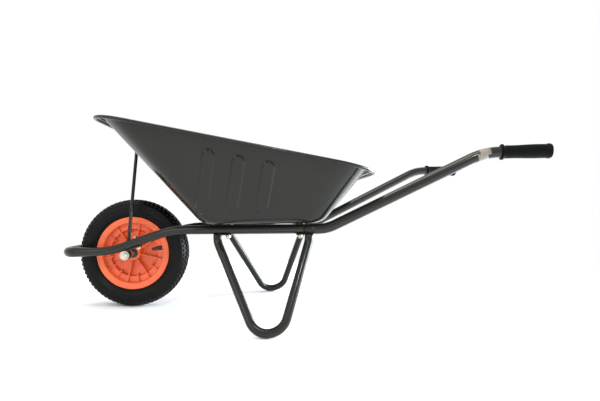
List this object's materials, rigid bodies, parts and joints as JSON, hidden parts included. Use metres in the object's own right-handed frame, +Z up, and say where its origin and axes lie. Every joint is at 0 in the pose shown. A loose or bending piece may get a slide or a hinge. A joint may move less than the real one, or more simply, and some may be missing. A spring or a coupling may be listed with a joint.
{
  "type": "wheelbarrow",
  "caption": "Single-wheel barrow with a pressed steel tray, bent tube frame, V-shaped tube legs, rubber grips and an air-filled wheel that turns on its axle.",
  "frame": {"origin": "on the ground, under the middle of the overall length and width", "axes": "+X from the wheel to the grips, +Y to the right of someone pushing it, +Z up"},
  "size_m": [1.373, 0.67, 0.5594],
  "materials": {
    "frame_enamel": "gloss dark olive-grey enamel",
    "tray_enamel": "gloss dark olive-grey enamel on pressed sheet",
    "zinc": "zinc plated",
    "grip_rubber": "moulded, satin",
    "rim_plastic": "orange moulded plastic",
    "tyre_rubber": "black, semi-matt",
    "black_rubber": "black rubber",
    "bush_nylon": "nylon"
  },
  "bodies": {
    "frame": {"front_frame": "frame_enamel", "left_handle_tube": "frame_enamel", "right_handle_tube": "frame_enamel", "left_grip": "grip_rubber", "right_grip": "grip_rubber", "left_leg": "frame_enamel", "right_leg": "frame_enamel", "front_cross_strap": "frame_enamel", "rear_cross_strap": "frame_enamel", "tray": "tray_enamel", "rolled_rim_edge": "tray_enamel", "front_stay": "frame_enamel", "left_axle_bracket": "frame_enamel", "right_axle_bracket": "frame_enamel", "axle_bolt": "zinc", "axle_nut": "zinc", "axle_washers": "zinc", "left_axle_spacer": "zinc", "left_outer_spacer": "zinc", "right_axle_spacer": "zinc", "bracket_bolts": "zinc", "bracket_nuts": "zinc", "tray_bolts": "zinc", "tray_bolt_washers": "black_rubber", "tray_nuts": "zinc", "handle_rivets": "frame_enamel", "stay_bolt": "zinc", "stay_nut": "zinc"},
    "wheel": {"wheel_rim": "rim_plastic", "tyre": "tyre_rubber", "inner_tube": "black_rubber", "valve_stem": "black_rubber", "valve_cap": "black_rubber", "left_hub_bush": "bush_nylon", "right_hub_bush": "bush_nylon"}
  },
  "joints": [
    {"name": "wheel_spin", "type": "hinge", "parent": "frame", "child": "wheel", "pos_m": [-0.4705, 0, 0.172], "axis": [0, 1, 0], "continuous": true}
  ]
}
